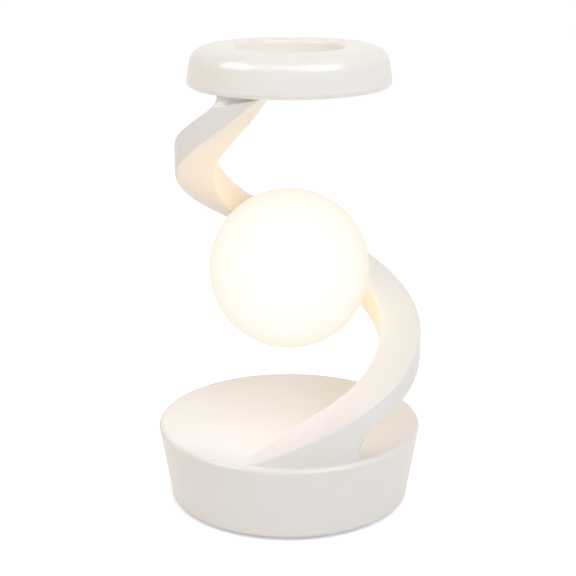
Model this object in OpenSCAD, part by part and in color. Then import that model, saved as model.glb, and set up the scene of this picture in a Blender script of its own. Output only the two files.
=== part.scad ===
// Spiral night light: a dished base that turns on a foot, a ribbon arm that climbs one turn
// around a glowing globe, and a hollow ring on top. Millimetres, Z up, foot pad on Z = 0.
// Directions are angles round the axis: 0 is the front (-Y), 90 the right (+X), 180 the back.

/* [Base] */
// Diameter of the base at its rim
base_rim_d = 125; // [116:1:136]
// Diameter of the base at its bottom edge
base_foot_d = 114; // [108:1:118]
// Height of the rim above the table
base_h = 36.8; // [34:0.2:42]
// Gap between the table and the bottom edge of the turning base
base_gap = 1.8; // [1.2:0.1:2.6]
// Wall of the base shell
base_wall = 2.5; // [2:0.1:3]
// Depth of the dish below the rim
dish_depth = 11.5; // [9:0.5:13]
// Radius that rounds the rim
rim_round = 1.8; // [1:0.1:2.4]

/* [Arm] */
// Height of the arm's top face above the rim, at the front
arm_lift = 5.9; // [3:0.1:9]
// Distance from the rim to the mean circle of the arm's outer face
arm_inset = 5.1; // [4:0.1:8]
// Shift of that circle off the axis
arm_shift = 6.1; // [0:0.1:8]
// Direction of the shift
arm_shift_dir = 126; // [90:1:170]
// Width of the ribbon across the top
arm_w = 19.1; // [16:0.1:21]
// Extra width where the arm spreads into the dish
arm_flare = 7.5; // [0:0.5:9]
// Thickness of the ribbon near its two ends
arm_t = 11.3; // [10.5:0.1:13]
// Extra thickness of the ribbon behind the globe
arm_belly = 5.6; // [4.6:0.1:7]
// Droop of the climb below a straight ramp
arm_sag = 3.8; // [0:0.1:5]
// Wall of the arm channel
arm_wall = 2.5; // [2:0.1:3]
// Thickness of the cover strip under the channel
arm_cover_t = 2.5; // [2:0.1:3]
// Radius of the arm's long edges
arm_edge = 1.2; // [0.6:0.1:1.6]
// Direction where the underside lifts off the dish
arm_foot_dir = 34; // [30:1:40]
// Radius under the arm where it lifts off the dish
heel_r = 8; // [4:0.5:10]
// Direction where the top face reaches the ring
arm_top_dir = 322; // [318:1:326]
// Radius over the arm where it joins the ring
neck_r = 9; // [6:0.5:11]

/* [Ring] */
// Height of the whole lamp
lamp_h = 215; // [205:1:230]
// Diameter of the ring
ring_d = 92.6; // [86:0.2:100]
// Diameter of the hole in the ring
ring_hole_d = 48; // [42:1:50]
// Height of the ring
ring_h = 17.7; // [15:0.1:20]
// Radius of the ring's shoulder
ring_shoulder = 8; // [5:0.5:10]
// Radius of the ring's lower edge
ring_edge = 2.5; // [1.5:0.1:3]
// Draw-in of the ring's wall towards the shoulder
ring_taper = 1.2; // [0:0.1:2]
// Radius of the edge round the hole
hole_edge = 1.5; // [0.5:0.1:2]
// Wall of the ring shell
ring_wall = 2.2; // [1.8:0.1:2.8]
// Thickness of the plate under the ring
ring_plate_t = 2; // [1.6:0.1:2.6]

/* [Globe] */
// Gap between the globe and the arm that carries it
globe_gap = 5.3; // [4.5:0.05:8]
// Wall of the globe
globe_wall = 1.6; // [1.2:0.1:2.2]
// Direction in which the arm carries the globe
stem_dir = 170; // [160:1:180]
// Outer diameter of the hollow stem
stem_d = 7; // [6:0.5:7]
// Bore of the stem
stem_bore_d = 4.4; // [3.6:0.1:5]
// Diameter of the globe's mouth
mouth_d = 26; // [24:1:30]
// Diameter of the light board
led_board_d = 21; // [20:1:22]
// Number of light chips
led_count = 6; // [3:1:6]

/* [Turntable] */
// Thickness of the foot pad
pad_t = 1.2; // [1:0.1:1.6]
// Depth of the pad's groove
pad_seat = 0.6; // [0.4:0.1:0.8]
// Gap between the foot plate and the inside of the base
foot_inset = 3; // [2:0.5:6]
// Thickness of the foot plate
foot_plate_t = 4; // [3.5:0.5:5]
// Thickness of the ballast disc
ballast_t = 2.6; // [2:0.1:2.8]
// Bore of the ball bearing
bearing_bore = 8; // [7:0.5:8]
// Outer diameter of the ball bearing
bearing_od = 22; // [22:0.5:23]
// Width of the ball bearing
bearing_w = 7; // [6:0.5:8]
// Diameter of one ball
ball_d = 3.969; // [3.5:0.001:4]
// Number of balls
ball_count = 7; // [5:1:8]
// Height of the spindle's shoulder above the foot plate
shoulder_h = 3.4; // [3.2:0.1:4.5]

/* [Electronics] */
// Thickness of the bottom cover
cover_t = 2; // [1.6:0.1:2.6]
// Length of the battery
battery_l = 40; // [34:1:44]
// Width of the battery
battery_w = 28; // [22:1:29]
// Thickness of the battery
battery_t = 6; // [4:0.5:8]
// Width of the control board
board_w = 36; // [32:1:40]
// Thickness of the control board
board_t = 1.6; // [1.2:0.2:2]
// Height of the board's standoffs
standoff_h = 3; // [2.5:0.5:5]
// Sideways place of the socket and of the button, either side of the back
port_x = 9; // [8.5:0.5:11]
// Diameter of the button
button_d = 8; // [7:0.5:9]
// Travel of the button
button_travel = 0.8; // [0.4:0.1:1]

/* [Clearances] */
// Gap between pieces that are seated on each other
seat_gap = 0.05; // [0.02:0.01:0.1]
// Gap between pieces that slide or plug together
slide_gap = 0.3; // [0.2:0.05:0.4]
// Gap along the seam between the arm and its cover
seam_gap = 0.15; // [0.1:0.05:0.25]
// Gap round a ball in its tracks and its cage
ball_gap = 0.06; // [0.04:0.01:0.08]

/* [Hidden] */
$fn = 96;

// Base outline: a cone, a round rim and a spherical dish that meets the rim smoothly
rim_r = base_rim_d / 2;
foot_r = base_foot_d / 2;
rim_c_r = rim_r - rim_round;
rim_c_z = base_h - rim_round;
dish_ball_r = (rim_c_r ^ 2 + (dish_depth - rim_round) ^ 2 - rim_round ^ 2) / (2 * dish_depth);
dish_ball_z = base_h - dish_depth + dish_ball_r;
dish_edge_dir = 90 + asin(rim_c_r / (dish_ball_r + rim_round));

function dish_z(r) = dish_ball_z - sqrt(dish_ball_r ^ 2 - r ^ 2);
function dish_r(z) = sqrt(max(0, dish_ball_r ^ 2 - (dish_ball_z - z) ^ 2));
function dish_under(r) = dish_ball_z - sqrt((dish_ball_r + base_wall) ^ 2 - r ^ 2);
function boss_top(r) = dish_under(r) + 0.4 * base_wall;
function base_out(z) = foot_r + (rim_r - foot_r) * (z - base_gap) / (rim_c_z - base_gap);
function base_in(z) = base_out(z) - base_wall;
hollow_r = base_in(dish_under(base_in(rim_c_z)));
dish_wall_dir = acos(hollow_r / (dish_ball_r + base_wall));

// Fasteners: thread diameter, head diameter, head height
M2 = [2, 3.6, 1.2];
M3 = [3, 5.4, 1.6];
M4 = [4, 7.4, 2];
head_sink = 0.1;

// Turntable stack, from the table up
foot_plate_r = foot_r - base_wall - foot_inset;
foot_z = pad_t - pad_seat;
foot_top = foot_z + foot_plate_t;
pad_out_r = foot_plate_r - 4;
pad_in_r = pad_out_r - 11;
ballast_top = foot_top + ballast_t;
bearing_z = foot_top + shoulder_h;
bearing_top = bearing_z + bearing_w;
bearing_mid = bearing_z + bearing_w / 2;
pitch_r = (bearing_bore + bearing_od) / 4;
track_r = ball_d / 2 + ball_gap;
land = 0.365 * ball_d;
cage_t = 1.2;
cage_h = 5.4;
spindle_r = bearing_bore / 2;
spindle_top = bearing_top - 0.3;
shoulder_r = pitch_r - land - seat_gap;
thread_depth = (spindle_top - foot_top) / 2 - 0.2;
washer_t = 0.8;
washer_r = shoulder_r - 0.4;
cup_r = bearing_od / 2 + 6.5;
cup_lip_t = 1.6;
cup_lip_r = pitch_r + land;
retainer_t = 1.4;
retainer_r = cup_r - 0.8;
retainer_screw_r = (bearing_od / 2 + cup_r) / 2;
third_turns = [60, 180, 300];
cover_z = bearing_z;
cover_top = cover_z + cover_t;
cover_r = base_in(cover_z) - slide_gap;
cover_boss_r = 3.4;
cover_screw_r = foot_r - base_wall - cover_boss_r - 2;
cover_screw_dirs = [45, 135, 225, 315];
ballast_in_r = cup_r + 1.5;
ballast_out_r = cover_screw_r - M3[1] / 2 - 2.5;
ballast_screw_r = (ballast_in_r + ballast_out_r) / 2;

// Electronics on the bottom cover
battery_pad_t = 0.6;
battery_x = -cup_r - 1.2 - battery_w / 2;
battery_z = cover_top + battery_pad_t;
board_z = cover_top + standoff_h;
board_top = board_z + board_t;
board_front_y = 26;
board_edge_r = base_in(board_z) - 1;
board_screw_x = board_w / 2 - 3;
board_screw_ys = [board_front_y + 8, board_front_y + 19];
usb_w = 8.9;
usb_h = 3.2;
usb_l = 7.4;
usb_skin = 0.3;
usb_tongue = [6.6, 5, 0.7];
usb_sunk = 0.8;
usb_z = board_top + usb_h / 2;
usb_face_y = sqrt(base_out(usb_z) ^ 2 - (port_x + usb_w / 2) ^ 2) - usb_sunk;
switch_w = 6;
switch_l = 3.6;
button_r = button_d / 2;
button_z = board_top + switch_w / 2;
button_proud = 1;
button_face_y = sqrt(base_out(button_z) ^ 2 - port_x ^ 2) + button_proud;
button_chamfer = 0.5;
flange_r = button_r + 1.4;
flange_t = 1.3;
guide_r = flange_r + 1.4;
guide_y = sqrt(base_in(button_z) ^ 2 - (port_x + guide_r) ^ 2) - slide_gap;
flange_y = guide_y - slide_gap;
push_l = 1.4;
push_r = 2;
plunger_r = 1.7;
plunger_l = 2.7;
plunger_y = flange_y - flange_t - push_l - seat_gap;
switch_y = plunger_y - button_travel - 0.8;
board_back_y = guide_y - 0.6;
board_notch_y = flange_y - flange_t - button_travel - slide_gap;

// Arm: a helix whose outer face follows a shifted circle and draws in to the ring
ring_r = ring_d / 2;
ring_z = lamp_h - ring_h;
hole_r = ring_hole_d / 2;
arm_low = base_h + arm_lift;
arm_r = rim_r - arm_inset;
step_angle = 3;
belly_dir = 184;
flare_from_dir = -15;
flare_to_dir = 50;
head_from_dir = 280;
head_to_dir = 330;
head_inset = 3;
toe_t = 0.8;
toe_w = 4;
hollow_dir = -2;
draft = 0.4;
sharp_angle = 0.2;
foot_edge = 0.2;
per_degree = PI / 180;

function ease(q) = let (c = min(max(q, 0), 1)) c * c * (3 - 2 * c);
function ramp(a, from, to) = ease((a - from) / (to - from));
function mix(a, b, q) = a + (b - a) * q;
function climb(a) = a / arm_top_dir;
function arm_top(a) = mix(arm_low, ring_z, climb(a)) - 4 * arm_sag * climb(a) * (1 - climb(a));
function arm_circle(a) = arm_r + arm_shift * cos(a - arm_shift_dir);
function arm_face(a) = mix(arm_circle(a), ring_r - head_inset, ramp(a, head_from_dir, head_to_dir));
function arm_wide(a) = arm_w + arm_flare * (1 - ramp(a, flare_from_dir, flare_to_dir));
function arm_in(a) = arm_face(a) - arm_wide(a);
function arm_out(a) = min(arm_face(a), dish_r(arm_top(a) - toe_t));
function arm_mid(a) = (arm_in(a) + arm_face(a)) / 2;
function arm_thick(a) = arm_t + arm_belly * (1 + cos(a - belly_dir)) / 2;
function arm_under(a) = arm_top(a) - arm_thick(a);

// Directions found by halving: where the toe is toe_w wide, and where the head is h high
function toe_angle(lo, hi, n = 24) = let (m = (lo + hi) / 2)
    n == 0 ? m : arm_out(m) - arm_in(m) > toe_w ? toe_angle(lo, m, n - 1) : toe_angle(m, hi, n - 1);
function head_angle(h, lo = 280, hi = 420, n = 24) = let (m = (lo + hi) / 2)
    n == 0 ? m : ring_z - arm_under(m) > h ? head_angle(h, m, hi, n - 1) : head_angle(h, lo, m, n - 1);

heel_dir = arm_foot_dir - arm_cover_t / (arm_mid(arm_foot_dir) * per_degree);
heel_end = arm_foot_dir + heel_r / (arm_mid(arm_foot_dir) * per_degree);
toe_dir = toe_angle(-60, 0);
// The neck is an arc that leaves the climb's slope and meets the ring upright
head_rise = (ring_z - arm_low + 4 * arm_sag) / arm_top_dir;
neck_slope = atan(head_rise / (arm_mid(arm_top_dir) * per_degree));
neck_low = neck_r * sin(neck_slope);
neck_dir = arm_top_dir - neck_r * cos(neck_slope) / head_rise;
neck_end = neck_dir + (neck_r - neck_low) / (arm_mid(neck_dir) * per_degree);
shell_end = head_angle(arm_wall + arm_cover_t + 0.6);
tip_end = head_angle(0.8);

// Length along the arm's middle from direction b on to direction a
function along(a, b) = max(0, (a - b) * per_degree * arm_mid(b));
function shell_top(a) = let (x = min(neck_low + along(a, neck_dir), neck_r))
    min(ring_z - seat_gap, max(arm_top(a), a > neck_dir ? ring_z - sqrt(neck_r ^ 2 - x ^ 2) : 0));
function shell_bottom(a, r) = a < heel_dir ? dish_z(r) + seat_gap : arm_under(a) + arm_cover_t;
function cover_roof(a) = a > shell_end ? ring_z - seat_gap : arm_under(a) + arm_cover_t - seam_gap;
function cover_bottom(a, r) = let (x = min(along(a, arm_foot_dir), heel_r))
    a <= arm_foot_dir ? dish_z(r) + seat_gap
                      : arm_under(a) - heel_r + sqrt(heel_r ^ 2 - (heel_r - x) ^ 2);

// Evenly spaced directions from a to b, both included
function spread(a, b, step = step_angle) =
    let (n = ceil((b - a) / step)) [for (i = [0 : n]) mix(a, b, i / n)];
shell_dirs = concat(spread(toe_dir, hollow_dir - sharp_angle), spread(hollow_dir, heel_dir - sharp_angle),
                    spread(heel_dir, neck_dir), spread(neck_dir + sharp_angle, neck_end, 1.2),
                    spread(neck_end + sharp_angle, shell_end));
cover_dirs = concat([heel_dir + seam_gap / (arm_in(heel_dir) * per_degree)], [arm_foot_dir],
                    spread(arm_foot_dir + sharp_angle, heel_end, 1.2), spread(heel_end + 1, shell_end),
                    spread(shell_end + sharp_angle, tip_end));
anchor_dirs = spread(1, 22);
head_dirs = spread(neck_end + 1, shell_end - 4);

// Cross-sections, as radius and height: outer face, top, inner face and, for the channel, its hollow
function shell_section(a) = let (
        o = arm_out(a), i = arm_in(a), t = shell_top(a), w = o - i,
        c = min(arm_edge, 0.4 * (t - shell_bottom(a, o))),
        k = min(arm_wall, 0.25 * w), d = min(draft, 0.1 * w))
    [[o, shell_bottom(a, o)], [o, t - c], [o - 0.3 * c, t - 0.3 * c], [o - c, t],
     [i + c, t], [i + 0.3 * c, t - 0.3 * c], [i, t - c], [i, shell_bottom(a, i)],
     [i + k, shell_bottom(a, i + k)],
     [i + k + d, a < hollow_dir ? shell_bottom(a, i + k + d) : t - arm_wall],
     [o - k - d, a < hollow_dir ? shell_bottom(a, o - k - d) : t - arm_wall],
     [o - k, shell_bottom(a, o - k)]];
function cover_section(a) = let (
        o = arm_face(a), i = arm_in(a), t = cover_roof(a),
        e = a <= arm_foot_dir ? foot_edge : min(arm_edge, 0.4 * (t - arm_under(a))))
    [[o, t], [i, t], [i, cover_bottom(a, i) + e],
     [i + 0.3 * e, cover_bottom(a, i) + 0.3 * e], [i + e, cover_bottom(a, i + e)],
     [o - e, cover_bottom(a, o - e)], [o - 0.3 * e, cover_bottom(a, o) + 0.3 * e],
     [o, cover_bottom(a, o) + e]];
function plug_section(a) = let (
        k = arm_wall + draft + slide_gap,
        o = arm_out(a) - k, i = arm_in(a) + k,
        t = shell_top(a) - arm_wall - 2 * slide_gap, b = a < heel_dir ? 0 : slide_gap)
    [[o, shell_bottom(a, o) + b], [o, t], [i, t], [i, shell_bottom(a, i) + b]];
shell_cap = [[0, 1, 11], [1, 2, 11], [2, 10, 11], [2, 3, 10], [3, 4, 10], [4, 9, 10],
             [4, 5, 9], [5, 8, 9], [5, 6, 8], [6, 7, 8]];

// Points of a section at direction a, and a fan of faces over an n-sided end
function stand(a, section) = [for (p = section) [p[0] * sin(a), -p[0] * cos(a), p[1]]];
function fan(n) = [for (i = [1 : n - 2]) [0, i, i + 1]];
function at(r, a) = [r * sin(a), -r * cos(a), 0];

// Fixings of the arm: screws up through the dish, and screws down through the ring's plate
arm_screw_dirs = [7, 17];
arm_screw_grip = 7;
arm_boss_r = 4.5;
function arm_boss_z(a) = dish_under(arm_mid(a) - arm_boss_r) - 2.5;
head_dir = (head_dirs[0] + head_dirs[len(head_dirs) - 1]) / 2;
head_screw_grip = 3.6;

// Ring inside: the plate sits between two lips
lip_out_r = ring_r - ring_edge - 1.2;
lip_in_r = hole_r + ring_wall;
ring_boss_r = 3;
ring_screw_r = (lip_out_r + lip_in_r) / 2;
ring_screw_dirs = [60, 150, 240];
// The arm's two screws lie about halfway between the middle of the arm and that of the plate
head_screw_mid = (arm_mid(head_dir) + ring_screw_r) / 2;
head_screw_rs = [head_screw_mid - 3, head_screw_mid + 3];
function arc(c, r, a, b, n = 10) =
    [for (i = [0 : n]) c + r * [cos(mix(a, b, i / n)), sin(mix(a, b, i / n))]];

// Globe: carried where the middle of the arm passes it
globe_r = arm_in(stem_dir) - globe_gap;
globe_z = (arm_top(stem_dir) + arm_under(stem_dir)) / 2;
mouth_r = mouth_d / 2;
cap_r = mouth_r + 3;
cap_t = 1.2;
cap_top = sqrt((globe_r + cap_t) ^ 2 - mouth_r ^ 2);
hub_r = stem_d / 2 + 2.5;
hub_end = arm_in(stem_dir) - 1.2;
plug_z = sqrt((globe_r - globe_wall) ^ 2 - mouth_r ^ 2) - 2;
nut_t = 2.5;
nut_r = 0.43 * (arm_thick(stem_dir) - arm_wall - arm_cover_t) - slide_gap;
nut_z = arm_in(stem_dir) + arm_wall + 0.8;
stem_end = nut_z + nut_t + 0.8;
led_board_t = 1.6;
led_chip = [2.8, 2.8, 0.7];
led_screw_r = led_board_d / 2 - 2.5;
led_ring_r = led_screw_r - M2[1] / 2 - led_chip[0] / 2 - 0.2;
led_face = plug_z - led_board_t;

// Light wire: over the bottom cover, up through the dish, along the channel and into the stem
wire_r = 1.2;
wire_sides = 8;
wire_lean = [-0.6, 0, 0.8];
wire_hole_r = 2.6;
wire_dir = 27;
function channel_z(a) = (arm_under(a) + arm_cover_t + arm_top(a) - arm_wall) / 2;
function channel(a) = at(arm_mid(a), a) + [0, 0, channel_z(a)];
function up_at(a, z) = at(arm_mid(wire_dir), a) + [0, 0, z];
function in_stem(r) = at(r, stem_dir) + [0, 0, globe_z];
wire_rise = channel_z(arm_foot_dir + 8);
wire_route = concat(
    [[10, board_front_y + 4, board_top + wire_r + seat_gap],
     [20, board_front_y - 5, board_top + 2], [27, 6, board_top + 3], [29, -10, board_top + 4],
     [27, -26, board_top + 5]],
    [up_at(wire_dir - 2, board_top + 7),
     up_at(wire_dir, mix(board_top, wire_rise, 0.35)),
     up_at(wire_dir, mix(board_top, wire_rise, 0.65)),
     up_at(wire_dir + 1.5, mix(board_top, wire_rise, 0.86))],
    [for (a = spread(arm_foot_dir + 4, stem_dir - 10, 6)) channel(a)],
    [at(mix(arm_mid(stem_dir), stem_end, 0.4), stem_dir - 4) + [0, 0, globe_z - 1.5],
     in_stem(stem_end + 0.5), in_stem(mix(stem_end, plug_z, 0.5)), in_stem(plug_z + slide_gap)]);
lead_r = 0.8;
lead_gap = 2.4;
function battery_lead(shift) =
    [[battery_x + battery_w / 2 - 5 - shift, battery_l / 2 + seat_gap, battery_z + battery_t / 2],
     [battery_x + battery_w / 2 - 5 - shift, battery_l / 2 + 2, battery_z + battery_t / 2],
     [battery_x + battery_w / 2 - 3 - shift, battery_l / 2 + 4, battery_z + battery_t / 2 + 1],
     [-board_w / 2 + 1 - shift / 2, board_front_y + 1 + shift, board_top + 2],
     [-board_w / 2 + 7, board_front_y + 2 + shift, board_top + lead_r + seat_gap]];

// Solid through a row of sections with n points each, closed by the faces of cap at both ends
module swept(points, n, cap) {
    last = len(points) - n;
    sides = [for (row = [0 : n : last - n], i = [0 : n - 1])
        let (p = row + i, q = row + (i + 1) % n)
        each [[p, q, q + n], [p, q + n, p + n]]];
    near = [for (f = cap) [f[2], f[1], f[0]]];
    far = [for (f = cap) [f[0] + last, f[1] + last, f[2] + last]];
    polyhedron(points, concat(sides, near, far));
}

// Round cable along a route
module cable(route, r) {
    n = len(route);
    rings = [for (i = [0 : n - 1])
        let (t = route[min(i + 1, n - 1)] - route[max(i - 1, 0)],
             u = cross(t, wire_lean) / norm(cross(t, wire_lean)),
             v = cross(t, u) / norm(t))
        each [for (k = [0 : wire_sides - 1])
            route[i] + r * cos(360 * k / wire_sides) * u - r * sin(360 * k / wire_sides) * v]];
    swept(rings, wire_sides, fan(wire_sides));
}

// Screw standing on its head: the head hangs below zero, the shank rises above it
module screw(size, length) {
    translate([0, 0, -size[2]])
        cylinder(h = size[2], d = size[1]);
    cylinder(h = length, d = size[0] - 2 * seat_gap);
}

module tube(h, r_out, r_in) {
    difference() {
        cylinder(h = h, r = r_out);
        translate([0, 0, -1])
            cylinder(h = h + 2, r = r_in);
    }
}

// Children copied to directions a at radius r and height z
module around(dirs, r, z) {
    for (a = dirs)
        translate(at(r, a) + [0, 0, z])
            children();
}

// Children with their Z turned to point along +Y, out of the back of the base
module to_back(x, y, z) {
    translate([x, y, z])
        rotate([-90, 0, 0])
            children();
}

// Children with their Z turned along the stem, measured from the globe's centre
module on_stem() {
    translate([0, 0, globe_z])
        rotate([0, 0, stem_dir])
            rotate([90, 0, 0])
                children();
}

// Bar with round sides, w wide and h high, l long
module oblong(w, h, l) {
    for (x = [-1, 1])
        translate([x * (w - h) / 2, 0, 0])
            cylinder(h = l, d = h);
    translate([-(w - h) / 2, -h / 2, 0])
        cube([w - h, h, l]);
}

module foot_pad() {
    color("dimgray")
        tube(pad_t, pad_out_r, pad_in_r);
}

module foot_plate() {
    color("gray")
        difference() {
            translate([0, 0, foot_z])
                cylinder(h = foot_plate_t, r = foot_plate_r);
            translate([0, 0, foot_z - 1])
                tube(pad_seat + 1, pad_out_r + slide_gap, pad_in_r - slide_gap);
            cylinder(h = foot_top + 1, d = M4[0]);
            translate([0, 0, foot_z - 1])
                cylinder(h = M4[2] + head_sink + 1, d = M4[1] + 2 * slide_gap);
            around(third_turns, ballast_screw_r, foot_z + 1)
                cylinder(h = foot_plate_t, d = M3[0]);
        }
}

module ballast_disc() {
    color("slategray")
        difference() {
            translate([0, 0, foot_top])
                tube(ballast_t, ballast_out_r, ballast_in_r);
            around(third_turns, ballast_screw_r, foot_top - 1)
                cylinder(h = ballast_t + 2, d = M3[0]);
            around(third_turns, ballast_screw_r, ballast_top - M3[2] - head_sink)
                cylinder(h = M3[2] + 1, d = M3[1] + 2 * slide_gap);
        }
}

module ballast_screws() {
    color("silver")
        around(third_turns, ballast_screw_r, ballast_top - M3[2] - head_sink)
            rotate([180, 0, 0])
                screw(M3, ballast_t - M3[2] + foot_plate_t - 1.5);
}

module spindle() {
    color("silver")
        difference() {
            union() {
                translate([0, 0, foot_top])
                    cylinder(h = shoulder_h, r = shoulder_r);
                translate([0, 0, foot_top])
                    cylinder(h = spindle_top - foot_top, r = spindle_r - seat_gap);
            }
            translate([0, 0, foot_top - 1])
                cylinder(h = thread_depth + 1, d = M4[0]);
            translate([0, 0, spindle_top - thread_depth])
                cylinder(h = thread_depth + 1, d = M4[0]);
        }
}

module spindle_base_screw() {
    color("silver")
        translate([0, 0, foot_z + M4[2] + head_sink])
            screw(M4, foot_plate_t - M4[2] + thread_depth - 0.6);
}

module spindle_washer() {
    color("silver")
        translate([0, 0, bearing_top])
            tube(washer_t, washer_r, M4[0] / 2);
}

module spindle_top_screw() {
    color("silver")
        translate([0, 0, bearing_top + washer_t])
            rotate([180, 0, 0])
                screw(M4, washer_t + bearing_top - spindle_top + thread_depth - 0.6);
}

// Track that the balls run in
module ball_track() {
    translate([0, 0, bearing_mid])
        rotate_extrude()
            translate([pitch_r, 0])
                circle(r = track_r);
}

module bearing_inner_ring() {
    color("lightsteelblue")
        difference() {
            translate([0, 0, bearing_z])
                tube(bearing_w, pitch_r - land, spindle_r);
            ball_track();
        }
}

module bearing_outer_ring() {
    color("lightsteelblue")
        difference() {
            translate([0, 0, bearing_z])
                tube(bearing_w, bearing_od / 2, pitch_r + land);
            ball_track();
        }
}

// Children turned to each ball's direction, at the height of the balls
module at_balls() {
    for (i = [0 : ball_count - 1])
        translate([0, 0, bearing_mid])
            rotate([0, 0, 360 * i / ball_count])
                children();
}

module bearing_cage() {
    color("tan")
        difference() {
            translate([0, 0, bearing_mid - cage_h / 2])
                tube(cage_h, pitch_r + cage_t / 2, pitch_r - cage_t / 2);
            at_balls()
                translate([0, cage_t - pitch_r, 0])
                    rotate([90, 0, 0])
                        cylinder(h = 2 * cage_t, r = track_r);
        }
}

module bearing_balls() {
    color("silver")
        at_balls()
            translate([0, -pitch_r, 0])
                sphere(d = ball_d);
}

module bearing_retainer() {
    color("silver")
        difference() {
            translate([0, 0, bearing_z - retainer_t])
                tube(retainer_t, retainer_r, cup_lip_r);
            around(third_turns, retainer_screw_r, bearing_z - retainer_t - 1)
                cylinder(h = retainer_t + 2, d = M2[0]);
        }
}

module retainer_screws() {
    color("silver")
        around(third_turns, retainer_screw_r, bearing_z - retainer_t)
            screw(M2, retainer_t + 4.5);
}

module base_cover() {
    color("gainsboro")
        difference() {
            union() {
                translate([0, 0, cover_z])
                    cylinder(h = cover_t, r = cover_r);
                translate([0, 0, cover_z])
                    cylinder(h = bearing_w + cup_lip_t, r = cup_r);
                for (x = [-1, 1], y = board_screw_ys)
                    translate([x * board_screw_x, y, cover_z])
                        cylinder(h = cover_t + standoff_h, d = 2 * M2[0] + 1);
            }
            translate([0, 0, cover_z - 1])
                cylinder(h = bearing_w + 1, r = bearing_od / 2 + seat_gap);
            cylinder(h = bearing_top + cup_lip_t + 1, r = cup_lip_r);
            around(third_turns, retainer_screw_r, cover_z - 1)
                cylinder(h = 6, d = M2[0]);
            around(cover_screw_dirs, cover_screw_r, cover_z - 1)
                cylinder(h = cover_t + 2, d = M3[0]);
            for (x = [-1, 1], y = board_screw_ys)
                translate([x * board_screw_x, y, cover_z + 1])
                    cylinder(h = cover_t + standoff_h, d = M2[0]);
        }
}

module cover_screws() {
    color("silver")
        around(cover_screw_dirs, cover_screw_r, cover_z)
            screw(M3, cover_t + 8);
}

// Half outline of the base shell, turned round the axis
module base_outline() {
    polygon(concat([[foot_r, base_gap]],
                   arc([rim_c_r, rim_c_z], rim_round, 0, dish_edge_dir, 8),
                   arc([0, dish_ball_z], dish_ball_r, dish_edge_dir - 180, -90, 20),
                   arc([0, dish_ball_z], dish_ball_r + base_wall, -90, -dish_wall_dir, 20),
                   [[base_in(base_gap), base_gap]]));
}

module bowl_housing() {
    color("ivory")
        difference() {
            union() {
                rotate_extrude()
                    base_outline();
                around(cover_screw_dirs, cover_screw_r, cover_top)
                    cylinder(h = boss_top(cover_screw_r) - cover_top, r = cover_boss_r);
                for (a = arm_screw_dirs)
                    around([a], arm_mid(a), arm_boss_z(a))
                        cylinder(h = boss_top(arm_mid(a)) - arm_boss_z(a), r = arm_boss_r);
                intersection() {
                    to_back(port_x, guide_y, button_z)
                        cylinder(h = rim_r, r = guide_r);
                    translate([0, 0, base_gap])
                        cylinder(h = rim_c_z - base_gap, r1 = foot_r - 1, r2 = rim_r - 1);
                }
            }
            around(cover_screw_dirs, cover_screw_r, cover_top - 1)
                cylinder(h = 11, d = M3[0]);
            for (a = arm_screw_dirs)
                around([a], arm_mid(a), 0)
                    cylinder(h = base_h, d = M3[0] + 2 * seat_gap);
            around([wire_dir], arm_mid(wire_dir), cover_top)
                cylinder(h = base_h, r = wire_hole_r);
            to_back(port_x, guide_y - 1, button_z)
                cylinder(h = rim_r, r = button_r + slide_gap);
            to_back(-port_x, usb_face_y - usb_l, usb_z)
                oblong(usb_w + 2 * slide_gap, usb_h + 2 * slide_gap, rim_r);
        }
}

module battery() {
    color("lightgray")
        translate([battery_x - battery_w / 2, -battery_l / 2, battery_z])
            cube([battery_w, battery_l, battery_t]);
}

module battery_pad() {
    color("black")
        translate([battery_x - battery_w / 2 + 2, -battery_l / 2 + 2, cover_top])
            cube([battery_w - 4, battery_l - 4, battery_pad_t]);
}

module battery_leads() {
    color("firebrick")
        for (shift = [0, lead_gap])
            cable(battery_lead(shift), lead_r);
}

module control_board() {
    color("seagreen")
        difference() {
            translate([0, 0, board_z])
                linear_extrude(board_t)
                    difference() {
                        intersection() {
                            translate([-board_w / 2, board_front_y])
                                square([board_w, board_back_y - board_front_y]);
                            circle(r = board_edge_r);
                        }
                        translate([port_x - guide_r, board_notch_y])
                            square(2 * guide_r);
                    }
            for (x = [-1, 1], y = board_screw_ys)
                translate([x * board_screw_x, y, board_z - 1])
                    cylinder(h = board_t + 2, d = M2[0]);
        }
}

module board_screws() {
    color("silver")
        for (x = [-1, 1], y = board_screw_ys)
            translate([x * board_screw_x, y, board_top])
                rotate([180, 0, 0])
                    screw(M2, board_t + standoff_h);
}

module usb_socket() {
    color("silver")
        to_back(-port_x, usb_face_y - usb_l, usb_z)
            union() {
                difference() {
                    oblong(usb_w, usb_h, usb_l);
                    translate([0, 0, 1.2])
                        oblong(usb_w - 2 * usb_skin, usb_h - 2 * usb_skin, usb_l);
                }
                translate([-usb_tongue[0] / 2, -usb_tongue[2] / 2, 0.6])
                    cube([usb_tongue[0], usb_tongue[2], usb_tongue[1]]);
            }
}

module tact_switch() {
    color("dimgray")
        difference() {
            translate([port_x - switch_w / 2, switch_y - switch_l, board_top])
                cube([switch_w, switch_l, switch_w]);
            to_back(port_x, plunger_y - plunger_l - button_travel - slide_gap, button_z)
                cylinder(h = plunger_l + 2, r = plunger_r + slide_gap);
        }
}

module switch_plunger() {
    color("white")
        to_back(port_x, plunger_y - plunger_l, button_z)
            cylinder(h = plunger_l, r = plunger_r);
}

module power_button() {
    color("whitesmoke") {
        to_back(port_x, flange_y - flange_t, button_z) {
            cylinder(h = flange_t, r = flange_r);
            cylinder(h = button_face_y - button_chamfer - flange_y + flange_t, r = button_r);
        }
        to_back(port_x, button_face_y - button_chamfer, button_z)
            cylinder(h = button_chamfer, r1 = button_r, r2 = button_r - button_chamfer);
        to_back(port_x, flange_y - flange_t - push_l, button_z)
            cylinder(h = push_l + 1, r = push_r);
    }
}

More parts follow.
